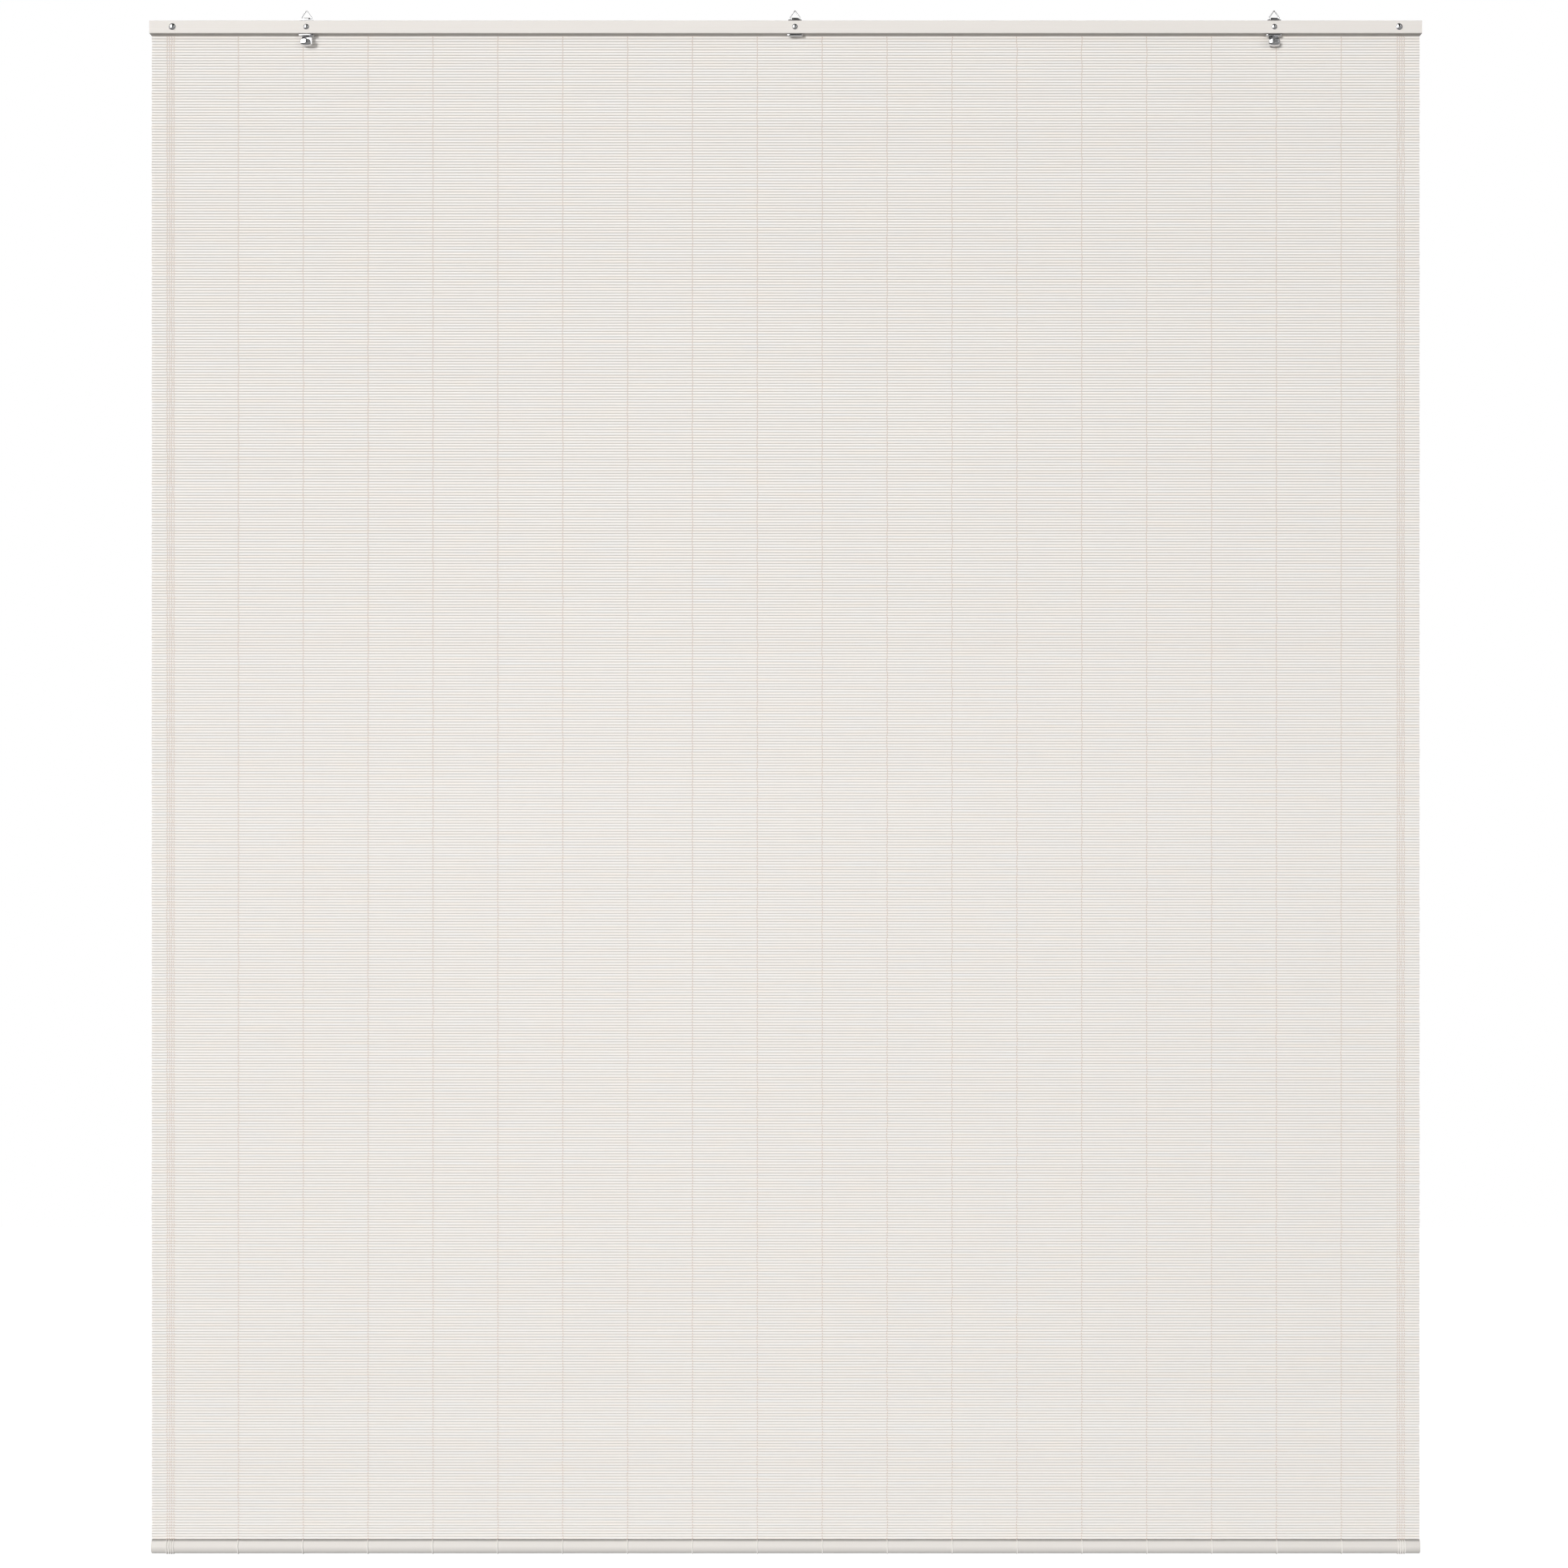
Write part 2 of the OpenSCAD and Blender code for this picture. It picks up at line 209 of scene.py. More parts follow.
# %% Room
LEFT_BOX = {"turn": (-64, -13), "rise": (-12, 54), "level": 3.2, "blur": 3}
RIGHT_BOX = {"turn": (40, 54), "rise": (10, 46), "level": 1.5, "blur": 3}
PALE_WALL = {"turn": (2, 80), "rise": (-40, 18), "level": 0.2, "blur": 9}
ROOM_UP, ROOM_LEVELS = (-0.5, 0.2), (0.2, 0.012)
WHITE_BEHIND, WHITE_BELOW = (0.0, 0.3), (0.75, 0.45)


def between(tree, angle, low, high, blur):
    up = ramp(tree, angle, math.radians(low - blur), math.radians(low + blur))
    down = ramp(tree, angle, math.radians(high + blur), math.radians(high - blur))
    return math_node(tree, "MULTIPLY", up, down)


def lit_panel(tree, turn, rise, panel):
    across = between(tree, turn, *panel["turn"], panel["blur"])
    upright = between(tree, rise, *panel["rise"], panel["blur"])
    return math_node(tree, "MULTIPLY", math_node(tree, "MULTIPLY", across, upright), panel["level"])


def room_in_metal(tree, way):
    turn = math_node(tree, "ARCTAN2", way["X"], math_node(tree, "MULTIPLY", way["Y"], -1.0))
    rise = math_node(tree, "ARCSINE", way["Z"])
    room = ramp(tree, way["Z"], *ROOM_UP, *ROOM_LEVELS)
    for panel in (LEFT_BOX, RIGHT_BOX, PALE_WALL):
        room = math_node(tree, "ADD", room, lit_panel(tree, turn, rise, panel))
    behind = ramp(tree, way["Y"], *WHITE_BEHIND)
    behind = math_node(tree, "MULTIPLY", behind, ramp(tree, way["Z"], *WHITE_BELOW))
    return mixed(tree, behind, room, 1.0)


# %% World
FILL_UP, FILL_BACK = (-0.4, 0.4), (0.05, 0.4)


def studio_world():
    world = bpy.data.worlds.new("studio")
    world.use_nodes = True
    tree = world.node_tree
    tree.nodes.clear()
    path = add(tree, "ShaderNodeLightPath").outputs
    way = axes(tree, add(tree, "ShaderNodeTexCoord").outputs["Generated"])
    fill = ramp(tree, way["Z"], *FILL_UP, FILL_BELOW, FILL_ABOVE)
    level = mixed(tree, path["Is Glossy Ray"], fill, room_in_metal(tree, way))
    back = ramp(tree, way["Y"], *FILL_BACK, 0.0, FILL_BEHIND)
    back = math_node(tree, "MULTIPLY", back, path["Is Diffuse Ray"])
    level = math_node(tree, "ADD", level, back)
    seen = math_node(tree, "MAXIMUM", path["Is Camera Ray"], path["Is Transmission Ray"])
    level = mixed(tree, seen, level, 1.0)
    sky = add(tree, "ShaderNodeBackground", {"Color": (1, 1, 1, 1), "Strength": level})
    add(tree, "ShaderNodeOutputWorld", {"Surface": sky.outputs[0]})
    return world


bpy.context.scene.world = studio_world()
print("room", bpy.context.scene.world.name)

# %% [markdown]
# ## The floor
# A pale floor lies a little below the rod. It takes the blind's shadow, but casts none itself, so it
# doesn't stand in the way of the low lamps. Light of its own lifts it to the white of the background
# for the camera, and to a pale grey in the metal. What it throws back on the blind is a steady glow.

# %% Floor
FLOOR_DROP = 0.35
FLOOR_HALF = 4.0
FLOOR_GREY = 0.35
FLOOR_LIFT = 0.9
FLOOR_IN_METAL = 0.25
FLOOR_BOUNCE = 0.1


def floor_paper():
    paper = bpy.data.materials.new("pale_floor")
    paper.use_nodes = True
    tree = paper.node_tree
    tree.nodes.clear()
    path = add(tree, "ShaderNodeLightPath").outputs
    seen = math_node(tree, "MAXIMUM", path["Is Camera Ray"], path["Is Transmission Ray"])
    lift = math_node(tree, "MULTIPLY", seen, FLOOR_LIFT)
    for ray, level in (("Is Glossy Ray", FLOOR_IN_METAL), ("Is Diffuse Ray", FLOOR_BOUNCE)):
        lift = math_node(tree, "MAXIMUM", lift, math_node(tree, "MULTIPLY", path[ray], level))
    matt = add(tree, "ShaderNodeBsdfDiffuse", {"Color": math_node(tree, "MULTIPLY", seen, FLOOR_GREY)})
    glow = add(tree, "ShaderNodeEmission", {"Color": (1, 1, 1, 1), "Strength": lift})
    both = add(tree, "ShaderNodeAddShader", {0: matt.outputs[0], 1: glow.outputs[0]})
    add(tree, "ShaderNodeOutputMaterial", {"Surface": both.outputs[0]})
    return paper


def make_floor():
    z = CAD_BOX[0].z - FLOOR_DROP
    corners = [(-1, -1), (1, -1), (1, 1), (-1, 1)]
    mesh = bpy.data.meshes.new("studio_floor")
    mesh.from_pydata([(FLOOR_HALF * x, FLOOR_HALF * y, z) for x, y in corners], [], [(0, 1, 2, 3)])
    mesh.materials.append(floor_paper())
    floor = bpy.data.objects.new("studio_floor", mesh)
    floor.visible_shadow = False
    bpy.context.scene.collection.objects.link(floor)
    return floor


print("floor at z", round(make_floor().data.vertices[0].co.z, 3))

# %% [markdown]
# ## White paint on bamboo and on wood
# Both finishes are thin white paint that lets the fibres show. One function makes them: stretched
# noise on Object coordinates draws the fibres along X, a second, slower noise clouds the colour,
# and the same fibres drive roughness and bump. The slats also read two attributes: a tone for each
# slat, and how near a point is to the slat's edge, where grey is mixed in as painted shade for the
# grooves, more so high up on the blind. The paint is a trace cooler where it is thick and warmer
# where the bamboo shines through. The battens have painted shade on faces that point down, over the
# lower half of the rod, and along the top of the rod where it meets the mat.

# %% Material helpers
def new_material(name):
    material = bpy.data.materials.new(name)
    material.use_nodes = True
    tree = material.node_tree
    return material, tree, tree.nodes["Principled BSDF"]


def object_place(tree):
    return add(tree, "ShaderNodeTexCoord").outputs["Object"]


def attribute(tree, name):
    return add(tree, "ShaderNodeAttribute", attribute_name=name).outputs["Fac"]


def stretched_noise(tree, scale, detail=4.0):
    spot = add(tree, "ShaderNodeMapping", {"Vector": object_place(tree), "Scale": scale}).outputs[0]
    return add(tree, "ShaderNodeTexNoise", {"Vector": spot, "Scale": 1.0, "Detail": detail}).outputs[0]


def weighted(tree, first, second, share):
    first = math_node(tree, "MULTIPLY", first, share)
    return math_node(tree, "ADD", first, math_node(tree, "MULTIPLY", second, 1 - share))


def mixed_colour(tree, share, *colours):
    first, second = (c if isinstance(c, bpy.types.NodeSocket) else (*c, 1) for c in colours)
    return add(tree, "ShaderNodeMix", {0: share, 6: first, 7: second}, data_type="RGBA").outputs[2]


def bumped(tree, surface, height, strength, depth):
    bump = add(tree, "ShaderNodeBump", {"Height": height, "Strength": strength, "Distance": depth})
    tree.links.new(bump.outputs[0], surface.inputs["Normal"])


# %% Painted shade
# Painted shade: a grey mixed into the slats' grooves, stronger high up on the blind, and darkening under
# the battens and on top of the rod.
GROOVE_SHADE_BELOW, GROOVE_SHADE_ABOVE = 0.60, 0.81
COOL_TINT, WARM_TINT = (0.955, 1.0, 1.05), (1.045, 1.0, 0.95)
PAINTED_GROOVE_SHADE = (0.46, 0.43, 0.40)
TINT_STRETCH = (14, 300, 300)
UNDER_SHADE_SHARE = 0.48
CREASE_SHADE_FACING = (0.55, 0.9)


def slat_painted_shade(tree, colour):
    tint = mixed_colour(tree, stretched_noise(tree, TINT_STRETCH, detail=2.0), COOL_TINT, WARM_TINT)
    colour = add(tree, "ShaderNodeVectorMath", {0: colour, 1: tint}, operation="MULTIPLY").outputs[0]
    height = axes(tree, object_place(tree))["Z"]
    # Painted shade: near the slat's edges the colour is mixed towards grey, more so high up on the blind.
    groove_shade = ramp(tree, height, MAT_LOW.z, MAT_HIGH.z, GROOVE_SHADE_BELOW, GROOVE_SHADE_ABOVE)
    groove_shade = math_node(tree, "MULTIPLY", attribute(tree, "edge"), groove_shade)
    return mixed_colour(tree, groove_shade, colour, PAINTED_GROOVE_SHADE)


def batten_painted_shade(tree, colour, shaded_under, crease_shade):
    up = axes(tree, add(tree, "ShaderNodeNewGeometry").outputs["Normal"])["Z"]
    # Painted shade: faces that point down are darkened; on the rod this reaches over its whole lower half.
    painted_shade = ramp(tree, up, *shaded_under, UNDER_SHADE_SHARE, 1.0)
    # Painted shade along the top of the rod, in the crease where it meets the mat; on the rail the share is
    # one.
    painted_shade = math_node(tree, "MULTIPLY", painted_shade, ramp(tree, up, *CREASE_SHADE_FACING, 1.0, crease_shade))
    return add(tree, "ShaderNodeVectorMath", {0: colour, "Scale": painted_shade}, operation="SCALE").outputs[0]


# %% Paint finishes
SLAT_WHITES = ((0.885, 0.846, 0.804), (0.924, 0.895, 0.863))
WOOD_WHITES = ((0.755, 0.717, 0.674), (0.825, 0.79, 0.755))
ROD_WHITES = ((0.745, 0.711, 0.667), (0.815, 0.785, 0.75))
SLAT_FIBRES, WOOD_FIBRES = (9, 900, 900), (5, 420, 420)
SLAT_RELIEF, WOOD_RELIEF = 0.025 * MM, 0.08 * MM
SLAT_ROUGH, WOOD_ROUGH = (0.6, 0.8), (0.42, 0.62)
# Facings where the rail and the rod get painted shade, and how dark the top of the rod is painted.
RAIL_SHADE_UNDER, ROD_SHADE_UNDER = (-0.95, -0.6), (-0.95, 0.1)
ROD_CREASE_SHADE = 0.5
CLOUD_STRETCH = (1.2, 30, 9)
FIBRE_SHARE, SLAT_SHARE = 0.6, 0.5
PAINT_BUMP = 0.5


def painted(name, whites, fibres, relief, rough, shaded_under=None, crease_shade=1.0):
    material, tree, surface = new_material(name)
    fibre = stretched_noise(tree, fibres)
    tone = weighted(tree, fibre, stretched_noise(tree, CLOUD_STRETCH, detail=2.0), FIBRE_SHARE)
    if shaded_under is None:
        tone = weighted(tree, attribute(tree, "tone"), tone, SLAT_SHARE)
    colour = mixed_colour(tree, tone, *whites)
    colour = slat_painted_shade(tree, colour) if shaded_under is None else batten_painted_shade(tree, colour, shaded_under, crease_shade)
    tree.links.new(colour, surface.inputs["Base Color"])
    tree.links.new(ramp(tree, fibre, 0.0, 1.0, *rough), surface.inputs["Roughness"])
    bumped(tree, surface, fibre, PAINT_BUMP, relief)
    return material


SLAT_PAINT = painted("painted_bamboo", SLAT_WHITES, SLAT_FIBRES, SLAT_RELIEF, SLAT_ROUGH)
WOOD_PAINT = painted("painted_wood", WOOD_WHITES, WOOD_FIBRES, WOOD_RELIEF, WOOD_ROUGH, RAIL_SHADE_UNDER)
ROD_PAINT = painted("painted_rod", ROD_WHITES, WOOD_FIBRES, WOOD_RELIEF, WOOD_ROUGH, ROD_SHADE_UNDER, ROD_CREASE_SHADE)
print("paints", SLAT_PAINT.name, WOOD_PAINT.name, ROD_PAINT.name)

# %% [markdown]
# ## From a Geometry Nodes tree to a plain mesh
# A tree is grown on an object that holds its input, evaluated once, and the result is copied into
# a plain mesh. The object is left at the origin with no modifier, as the export wants it. Each tree
# ends by making its copies real and giving them their material, because the export drops copies.

# %% Growing helper
def new_tree(name, takes_geometry, **inputs):
    tree = bpy.data.node_groups.new(name, "GeometryNodeTree")
    if takes_geometry:
        tree.interface.new_socket("Geometry", in_out="INPUT", socket_type="NodeSocketGeometry")
    for label, value in inputs.items():
        kind = "NodeSocketInt" if isinstance(value, int) else "NodeSocketFloat"
        kind = "NodeSocketMaterial" if isinstance(value, bpy.types.Material) else kind
        socket = tree.interface.new_socket(label.replace("_", " "), in_out="INPUT", socket_type=kind)
        socket.default_value = value
    tree.interface.new_socket("Geometry", in_out="OUTPUT", socket_type="NodeSocketGeometry")
    return tree, add(tree, "NodeGroupInput").outputs


def stored(tree, geometry, name, value, domain="POINT"):
    inputs = {"Geometry": geometry, "Name": name, "Value": value}
    return add(tree, "GeometryNodeStoreNamedAttribute", inputs, data_type="FLOAT", domain=domain).outputs[0]


def end_tree(tree, geometry, material):
    real = add(tree, "GeometryNodeRealizeInstances", {"Geometry": geometry}).outputs[0]
    dressed = add(tree, "GeometryNodeSetMaterial", {"Geometry": real, "Material": material}).outputs[0]
    add(tree, "NodeGroupOutput", {0: dressed})
    return tree


def grow(name, tree, data, **values):
    seed_object = bpy.data.objects.new(name + "_seed", data)
    bpy.context.scene.collection.objects.link(seed_object)
    modifier = seed_object.modifiers.new("grow", "NODES")
    modifier.node_group = tree
    sockets = {s.name: s.identifier for s in tree.interface.items_tree if s.in_out == "INPUT"}
    for label, value in values.items():
        modifier[sockets[label.replace("_", " ")]] = value
    graph = bpy.context.evaluated_depsgraph_get()
    mesh = bpy.data.meshes.new_from_object(
        seed_object.evaluated_get(graph), preserve_all_data_layers=True, depsgraph=graph)
    mesh.name = name
    bpy.data.objects.remove(seed_object)
    return mesh


def place(name, mesh, body, slot, nodes, sharp_angle=40):
    piece = bpy.data.objects.new(name, mesh)
    bpy.context.scene.collection.objects.link(piece)
    mesh.shade_smooth()
    mesh.set_sharp_from_angle(angle=math.radians(sharp_angle))
    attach(piece, body)
    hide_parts(*nodes)
    return piece


# %% [markdown]
# ## The slats
# Each slat is a thin strip of split bamboo with rounded edges, and no two are quite alike.
# A tree sweeps one rounded strip along X, sets copies of it down a line of points, and gives each
# copy a small shift and a tone of its own. After the copies are made real, slow noise bends
# neighbours together, so that the gaps between them stay closed, as strings hold them.

# %% One slat
SLAT_STATIONS = 7
SLAT_ROUNDS = 3


def slat_strip(tree, given):
    half = math_node(tree, "MULTIPLY", given["Width"], 0.5)
    left, right = from_axes(tree, X=math_node(tree, "MULTIPLY", half, -1.0)), from_axes(tree, X=half)
    line = add(tree, "GeometryNodeCurvePrimitiveLine", {"Start": left, "End": right}).outputs[0]
    line = add(tree, "GeometryNodeResampleCurve", {"Curve": line, "Count": SLAT_STATIONS}).outputs[0]
    width = math_node(tree, "SUBTRACT", given["Pitch"], given["Gap"])
    section = add(tree, "GeometryNodeCurvePrimitiveQuadrilateral",
                  {"Width": given["Thickness"], "Height": width}).outputs[0]
    section = add(tree, "GeometryNodeFilletCurve",
                  {"Curve": section, "Radius": given["Rounding"], "Count": SLAT_ROUNDS,
                   "Limit Radius": True}, mode="POLY").outputs[0]
    strip = add(tree, "GeometryNodeCurveToMesh",
                {"Curve": line, "Profile Curve": section, "Fill Caps": True}).outputs[0]
    half_width = math_node(tree, "MULTIPLY", width, 0.5)
    flat_end = math_node(tree, "SUBTRACT", half_width, given["Rounding"])
    across = axes(tree, add(tree, "GeometryNodeInputPosition").outputs[0])["Z"]
    # How near a point is to the slat's edge; the paint uses it to paint shade into the grooves.
    edge = ramp(tree, math_node(tree, "ABSOLUTE", across), flat_end, half_width)
    return stored(tree, strip, "edge", edge)


# %% Rows of slats
def slat_rows(tree, given, strip):
    first = math_node(tree, "SUBTRACT", given["Top"], math_node(tree, "MULTIPLY", given["Pitch"], 0.5))
    first = from_axes(tree, Y=given["Middle"], Z=first)
    step = from_axes(tree, Z=math_node(tree, "MULTIPLY", given["Pitch"], -1.0))
    rows = add(tree, "GeometryNodeMeshLine",
               {"Count": given["Count"], "Start Location": first, "Offset": step}).outputs[0]
    slats = add(tree, "GeometryNodeInstanceOnPoints", {"Points": rows, "Instance": strip}).outputs[0]
    spread = from_axes(tree, X=given["End Scatter"], Y=given["Face Scatter"])
    least = add(tree, "ShaderNodeVectorMath", {0: spread, 1: (-1, -1, -1)}, operation="MULTIPLY").outputs[0]
    shift = add(tree, "FunctionNodeRandomValue", {0: least, 1: spread, "Seed": given["Seed"]},
                data_type="FLOAT_VECTOR").outputs[0]
    slats = add(tree, "GeometryNodeTranslateInstances",
                {"Instances": slats, "Translation": shift, "Local Space": False}).outputs[0]
    tone_seed = math_node(tree, "ADD", given["Seed"], 1.0)
    tone = add(tree, "FunctionNodeRandomValue", {2: 0.0, 3: 1.0, "Seed": tone_seed},
               data_type="FLOAT").outputs[1]
    slats = stored(tree, slats, "tone", tone, domain="INSTANCE")
    return add(tree, "GeometryNodeRealizeInstances", {"Geometry": slats}).outputs[0]


# %% Slat tree
BEND_STRETCH = (3.0, 0.0, 2.5)


def slat_tree():
    tree, given = new_tree(
        "slat_mat", False, Width=1.0, Pitch=0.004, Count=10, Thickness=0.002, Gap=0.00004,
        Rounding=0.00085, Middle=0.0, Top=0.0, End_Scatter=0.0004, Face_Scatter=0.00006,
        Wander=0.00012, Seed=7, Paint=SLAT_PAINT)
    slats = slat_rows(tree, given, slat_strip(tree, given))
    spot = add(tree, "GeometryNodeInputPosition").outputs[0]
    slow = add(tree, "ShaderNodeVectorMath", {0: spot, 1: BEND_STRETCH}, operation="MULTIPLY").outputs[0]
    bend = add(tree, "ShaderNodeTexNoise", {"Vector": slow, "Scale": 1.0, "Detail": 1.0}).outputs[0]
    bend = math_node(tree, "MULTIPLY", math_node(tree, "SUBTRACT", bend, 0.5), given["Wander"])
    bend = from_axes(tree, Y=math_node(tree, "MULTIPLY", bend, 2.0), Z=bend)
    slats = add(tree, "GeometryNodeSetPosition", {"Geometry": slats, "Offset": bend}).outputs[0]
    return end_tree(tree, slats, given["Paint"])


# %% Hang the slats
slat_mesh = grow(
    "hanging_slats", slat_tree(), bpy.data.meshes.new("slat_start"),
    Width=MAT_HIGH.x - MAT_LOW.x, Pitch=SLAT_PITCH, Count=SLAT_COUNT, Thickness=MAT_HIGH.y - MAT_LOW.y,
    Middle=MAT_MID_Y, Top=MAT_LOW.z + SLAT_COUNT * SLAT_PITCH)
place("hanging_slats", slat_mesh, "blind", "painted_slats", ["slat_mat"])
print("slat faces", len(slat_mesh.polygons), "a slat", len(slat_mesh.polygons) // SLAT_COUNT)

# %% [markdown]
# ## The oval of the rod
# The bottom rod is an oval batten: two wide arcs that run smoothly into two tight ones. This
# function gives the point of that oval whose surface faces a given way, so that the rod and the
# cords that are lashed round it are drawn from the same rule.

# %% Rod oval
ROD_END_R = 5.5 * MM
ROD_HALF_D = (ROD_HIGH.y - ROD_LOW.y) / 2
ROD_HALF_H = (ROD_HIGH.z - ROD_LOW.z) / 2
ROD_MID = Vector((0, (ROD_HIGH.y + ROD_LOW.y) / 2, (ROD_HIGH.z + ROD_LOW.z) / 2))


def oval_point(x, facing, grown=0.0):
    end_c = ROD_HALF_H - ROD_END_R
    wide_r = (ROD_HALF_D**2 + end_c**2 - ROD_END_R**2) / (2 * (ROD_HALF_D - ROD_END_R))
    wide_c = wide_r - ROD_HALF_D
    back, up = math.cos(facing), math.sin(facing)
    if abs(back) > math.cos(math.atan2(end_c, wide_c)):
        y = (wide_r + grown) * back - math.copysign(wide_c, back)
        z = (wide_r + grown) * up
    else:
        y = (ROD_END_R + grown) * back
        z = (ROD_END_R + grown) * up + math.copysign(end_c, up)
    return Vector((x, ROD_MID.y + y, ROD_MID.z + z))


print("rod front at y", round(oval_point(0, math.pi).y, 5), "frame says", round(ROD_LOW.y, 5))

# %% [markdown]
# ## Lofting
# The rod, the wire of the rings and the nails are all rows of rings of points, joined by faces.
# One helper builds such a skin. Its two ends are closed by caps, or joined to each other.

# %% Loft helper
def loft(name, rings, looped=False):
    build = bmesh.new()
    rows = [[build.verts.new(point) for point in ring] for ring in rings]
    count = len(rings[0])
    for here, there in zip(rows, rows[1:] + rows[:1] if looped else rows[1:]):
        for i in range(count):
            j = (i + 1) % count
            build.faces.new((here[i], here[j], there[j], there[i]))
    if not looped:
        build.faces.new(rows[0])
        build.faces.new(rows[-1])
    bmesh.ops.recalc_face_normals(build, faces=build.faces)
    mesh = bpy.data.meshes.new(name)
    build.to_mesh(mesh)
    build.free()
    return mesh


# %% [markdown]
# ## The bottom rod
# It is planed and sanded by hand, so the oval wavers by a tenth of a millimetre along its length.
# Its ends are eased over the last millimetre.

# %% Rod
ROD_SIDES = 48
ROD_STATIONS = 61
ROD_WAVER = 0.08 * MM
ROD_EASE = 0.9 * MM
ROD_LOBES, ROD_TWIST, ROD_BEAT = 3, 40, 1.7


def rod_ring(x, shrink, waver):
    turns = [2 * math.pi * i / ROD_SIDES for i in range(ROD_SIDES)]
    wavers = [waver * math.sin(ROD_LOBES * turn + ROD_TWIST * x) for turn in turns]
    return [oval_point(x, turn, grown - shrink) for turn, grown in zip(turns, wavers)]


def make_rod():
    ends = [(0, ROD_EASE), (0.3 * ROD_EASE, 0.3 * ROD_EASE), (ROD_EASE, 0)]
    length = ROD_HIGH.x - ROD_LOW.x
    rings = [rod_ring(ROD_LOW.x + along, shrink, 0) for along, shrink in ends]
    for i in range(1, ROD_STATIONS):
        waver = ROD_WAVER * math.sin(ROD_BEAT * i)
        rings.append(rod_ring(ROD_LOW.x + length * i / ROD_STATIONS, 0, waver))
    rings += [rod_ring(ROD_HIGH.x - along, shrink, 0) for along, shrink in reversed(ends)]
    mesh = loft("oval_rod", rings)
    mesh.materials.append(ROD_PAINT)
    return place("oval_rod", mesh, "blind", "painted_batten", ["bottom_rod"])


print("rod faces", len(make_rod().data.polygons))

# %% [markdown]
# ## The battens of the headrail
# Their CAD shape is right, with eased edges, nail holes and recesses for the clips, so the nodes
# stay and only get the paint. The slats gripped between them stay too.

# %% Headrail paint
def repaint(name, material):
    node = frame["nodes"][name]
    if not node.material_slots:
        node.data.materials.append(material)
    for material_slot in node.material_slots:
        material_slot.material = material


repaint("headrail_front", WOOD_PAINT)
repaint("headrail_back", WOOD_PAINT)
repaint("gripped_slats", SLAT_PAINT)
print("painted the headrail")

# %% [markdown]
# ## Cotton cord
# The strings are soft twisted cotton, a little warmer than the paint, with a fine uneven surface.
# Round the rod the cord is drawn whiter, which an attribute of the cord tells the finish.

# %% Cord finish
BARE_COTTON = ((0.63, 0.515, 0.435), (0.77, 0.66, 0.58))
LASHED_COTTON = (0.91, 0.885, 0.85)
FUZZ_STRETCH = (2500, 2500, 1400)
FUZZ_RELIEF = 0.1 * MM


def cotton():
    material, tree, surface = new_material("cotton_cord")
    fuzz = stretched_noise(tree, FUZZ_STRETCH, detail=3.0)
    bare = mixed_colour(tree, fuzz, *BARE_COTTON)
    colour = mixed_colour(tree, attribute(tree, "lash"), bare, LASHED_COTTON)
    tree.links.new(colour, surface.inputs["Base Color"])
    surface.inputs["Roughness"].default_value = 0.9
    surface.inputs["Sheen Weight"].default_value = 0.15
    bumped(tree, surface, fuzz, 0.6, FUZZ_RELIEF)
    return material


COTTON = cotton()
print("cord", COTTON.name)

# %% [markdown]
# ## The warp strings
# A string runs down the front of the mat, round the rod and up the back. On the mat it dips into
# every groove and leans left and right in turn, which is what makes the fine zigzag in the
# photograph. Round the rod both threads lie together, so the cord is thicker there.
# The path is a plain curve. The tree cuts it at half slats, moves those points, and sweeps a
# small round section along them.

# %% String moves
WANDER_RATE = 45.0


def string_moves(tree, given, spot, on_mat):
    quarter_turn = math_node(tree, "MULTIPLY", add(tree, "GeometryNodeInputIndex").outputs[0], math.pi / 2)
    wave = math_node(tree, "SINE", quarter_turn)
    least = math_node(tree, "MULTIPLY", given["Scatter"], -1.0)
    stray = add(tree, "FunctionNodeRandomValue", {2: least, 3: given["Scatter"], "Seed": given["Seed"]},
                data_type="FLOAT").outputs[1]
    along = math_node(tree, "ADD", math_node(tree, "MULTIPLY", spot["Z"], WANDER_RATE), given["Seed"])
    slow = add(tree, "ShaderNodeTexNoise", {"W": along, "Scale": 1.0, "Detail": 1.0},
               noise_dimensions="1D").outputs[0]
    slow = math_node(tree, "MULTIPLY", math_node(tree, "SUBTRACT", slow, 0.5), given["Wander"])
    lean = math_node(tree, "MULTIPLY", wave, given["Swing"])
    lean = math_node(tree, "ADD", lean, math_node(tree, "ADD", stray, slow))
    lean = math_node(tree, "MULTIPLY", lean, on_mat)
    inward = math_node(tree, "SIGN", math_node(tree, "SUBTRACT", given["Middle"], spot["Y"]))
    dip = math_node(tree, "MULTIPLY", math_node(tree, "MULTIPLY", wave, wave), given["Dip"])
    dip = math_node(tree, "MULTIPLY", math_node(tree, "MULTIPLY", dip, inward), on_mat)
    return from_axes(tree, X=lean, Y=dip)


# %% String tree
CORD_SIDES = 5


